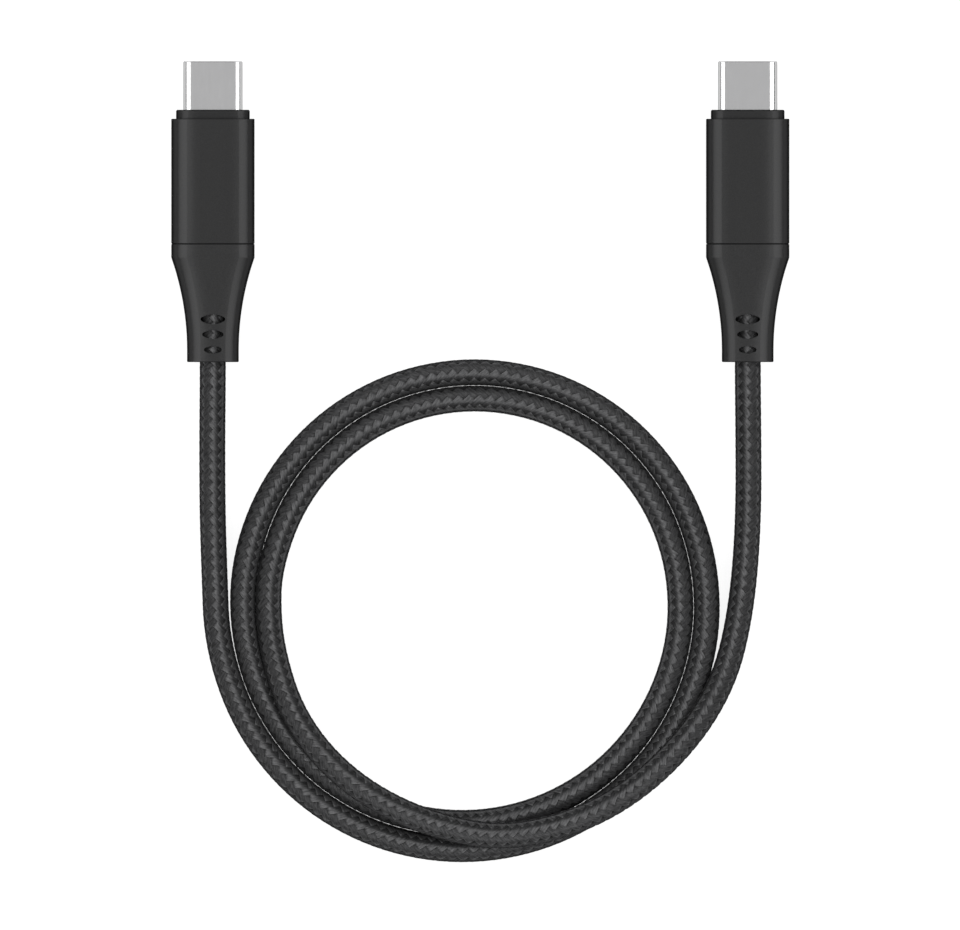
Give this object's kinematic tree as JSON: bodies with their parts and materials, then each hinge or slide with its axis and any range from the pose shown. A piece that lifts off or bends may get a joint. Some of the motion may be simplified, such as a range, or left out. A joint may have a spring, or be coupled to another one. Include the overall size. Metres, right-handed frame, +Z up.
{
  "type": "charging cable",
  "caption": "Braided charging cable with a reversible power and data plug on each end, lying in a loose flat coil.",
  "frame": {"origin": "on the table under the middle of the two plugs: midway between them, halfway along their length, level with the undersides of their housings", "axes": "+X from plug_a to plug_b, +Y out of the plugs' mouths along their axes, +Z up from the table"},
  "size_m": [0.086, 0.1113, 0.0073],
  "materials": {
    "shell_steel": "bright nickel-plated deep-drawn steel",
    "insulator_black": "black glass-filled nylon",
    "contact_gold": "gold-plated phosphor bronze",
    "spring_steel": "stamped stainless spring sheet",
    "card_green": "green solder mask on glass epoxy",
    "solder_tin": "bright tin solder",
    "core_red": "red core insulation",
    "core_black": "black core insulation",
    "core_blue": "blue core insulation",
    "core_white": "white core insulation",
    "can_steel": "tin-plated shield sheet",
    "ferrule_copper": "copper crimp ring",
    "jacket_black": "soft black cable jacket",
    "mould_natural": "natural polyethylene inner mould",
    "collar_black": "satin black moulded plastic",
    "housing_grey": "fine-blasted dark grey anodised sleeve",
    "relief_black": "satin black soft moulding",
    "braid_black": "braided black nylon over a soft jacket"
  },
  "bodies": {
    "cable": {"plug_a_plug_shell": "shell_steel", "plug_a_contact_housing": "insulator_black", "plug_a_upper_contacts": "contact_gold", "plug_a_lower_contacts": "contact_gold", "plug_a_upper_contact_carrier": "insulator_black", "plug_a_lower_contact_carrier": "insulator_black", "plug_a_mid_plate": "spring_steel", "plug_a_upper_ground_spring": "spring_steel", "plug_a_lower_ground_spring": "spring_steel", "plug_a_paddle_card": "card_green", "plug_a_solder_pads": "contact_gold", "plug_a_solder_joints": "solder_tin", "plug_a_vbus_wire": "core_red", "plug_a_ground_wire": "core_black", "plug_a_cc_wire": "core_blue", "plug_a_data_wires": "core_white", "plug_a_upper_shield_can": "can_steel", "plug_a_lower_shield_can": "can_steel", "plug_a_crimp_ferrule": "ferrule_copper", "plug_a_jacket_end": "jacket_black", "plug_a_inner_mould": "mould_natural", "plug_a_nose_collar": "collar_black", "plug_a_housing_sleeve": "housing_grey", "plug_a_strain_relief": "relief_black", "plug_b_plug_shell": "shell_steel", "plug_b_contact_housing": "insulator_black", "plug_b_upper_contacts": "contact_gold", "plug_b_lower_contacts": "contact_gold", "plug_b_upper_contact_carrier": "insulator_black", "plug_b_lower_contact_carrier": "insulator_black", "plug_b_mid_plate": "spring_steel", "plug_b_upper_ground_spring": "spring_steel", "plug_b_lower_ground_spring": "spring_steel", "plug_b_paddle_card": "card_green", "plug_b_solder_pads": "contact_gold", "plug_b_solder_joints": "solder_tin", "plug_b_vbus_wire": "core_red", "plug_b_ground_wire": "core_black", "plug_b_cc_wire": "core_blue", "plug_b_data_wires": "core_white", "plug_b_upper_shield_can": "can_steel", "plug_b_lower_shield_can": "can_steel", "plug_b_crimp_ferrule": "ferrule_copper", "plug_b_jacket_end": "jacket_black", "plug_b_inner_mould": "mould_natural", "plug_b_nose_collar": "collar_black", "plug_b_housing_sleeve": "housing_grey", "plug_b_strain_relief": "relief_black", "cord_tail_a": "braid_black", "cord_tail_b": "braid_black", "cord_coil": "braid_black"},
    "plug_a_left_latch_arm": {"plug_a_left_latch_arm": "spring_steel"},
    "plug_a_right_latch_arm": {"plug_a_right_latch_arm": "spring_steel"},
    "plug_b_left_latch_arm": {"plug_b_left_latch_arm": "spring_steel"},
    "plug_b_right_latch_arm": {"plug_b_right_latch_arm": "spring_steel"}
  },
  "joints": [
    {"name": "plug_a_left_latch_flex", "type": "hinge", "parent": "cable", "child": "plug_a_left_latch_arm", "pos_m": [-0.04065, 0.01052, 0.0029], "axis": [0, 0, 1], "range_deg": [0, 2], "stiffness_Nm_per_rad": 0.8},
    {"name": "plug_a_right_latch_flex", "type": "hinge", "parent": "cable", "child": "plug_a_right_latch_arm", "pos_m": [-0.03375, 0.01052, 0.0029], "axis": [0, 0, -1], "range_deg": [0, 2], "stiffness_Nm_per_rad": 0.8},
    {"name": "plug_b_left_latch_flex", "type": "hinge", "parent": "cable", "child": "plug_b_left_latch_arm", "pos_m": [0.03375, 0.01052, 0.0029], "axis": [0, 0, 1], "range_deg": [0, 2], "stiffness_Nm_per_rad": 0.8},
    {"name": "plug_b_right_latch_flex", "type": "hinge", "parent": "cable", "child": "plug_b_right_latch_arm", "pos_m": [0.04065, 0.01052, 0.0029], "axis": [0, 0, -1], "range_deg": [0, 2], "stiffness_Nm_per_rad": 0.8}
  ]
}
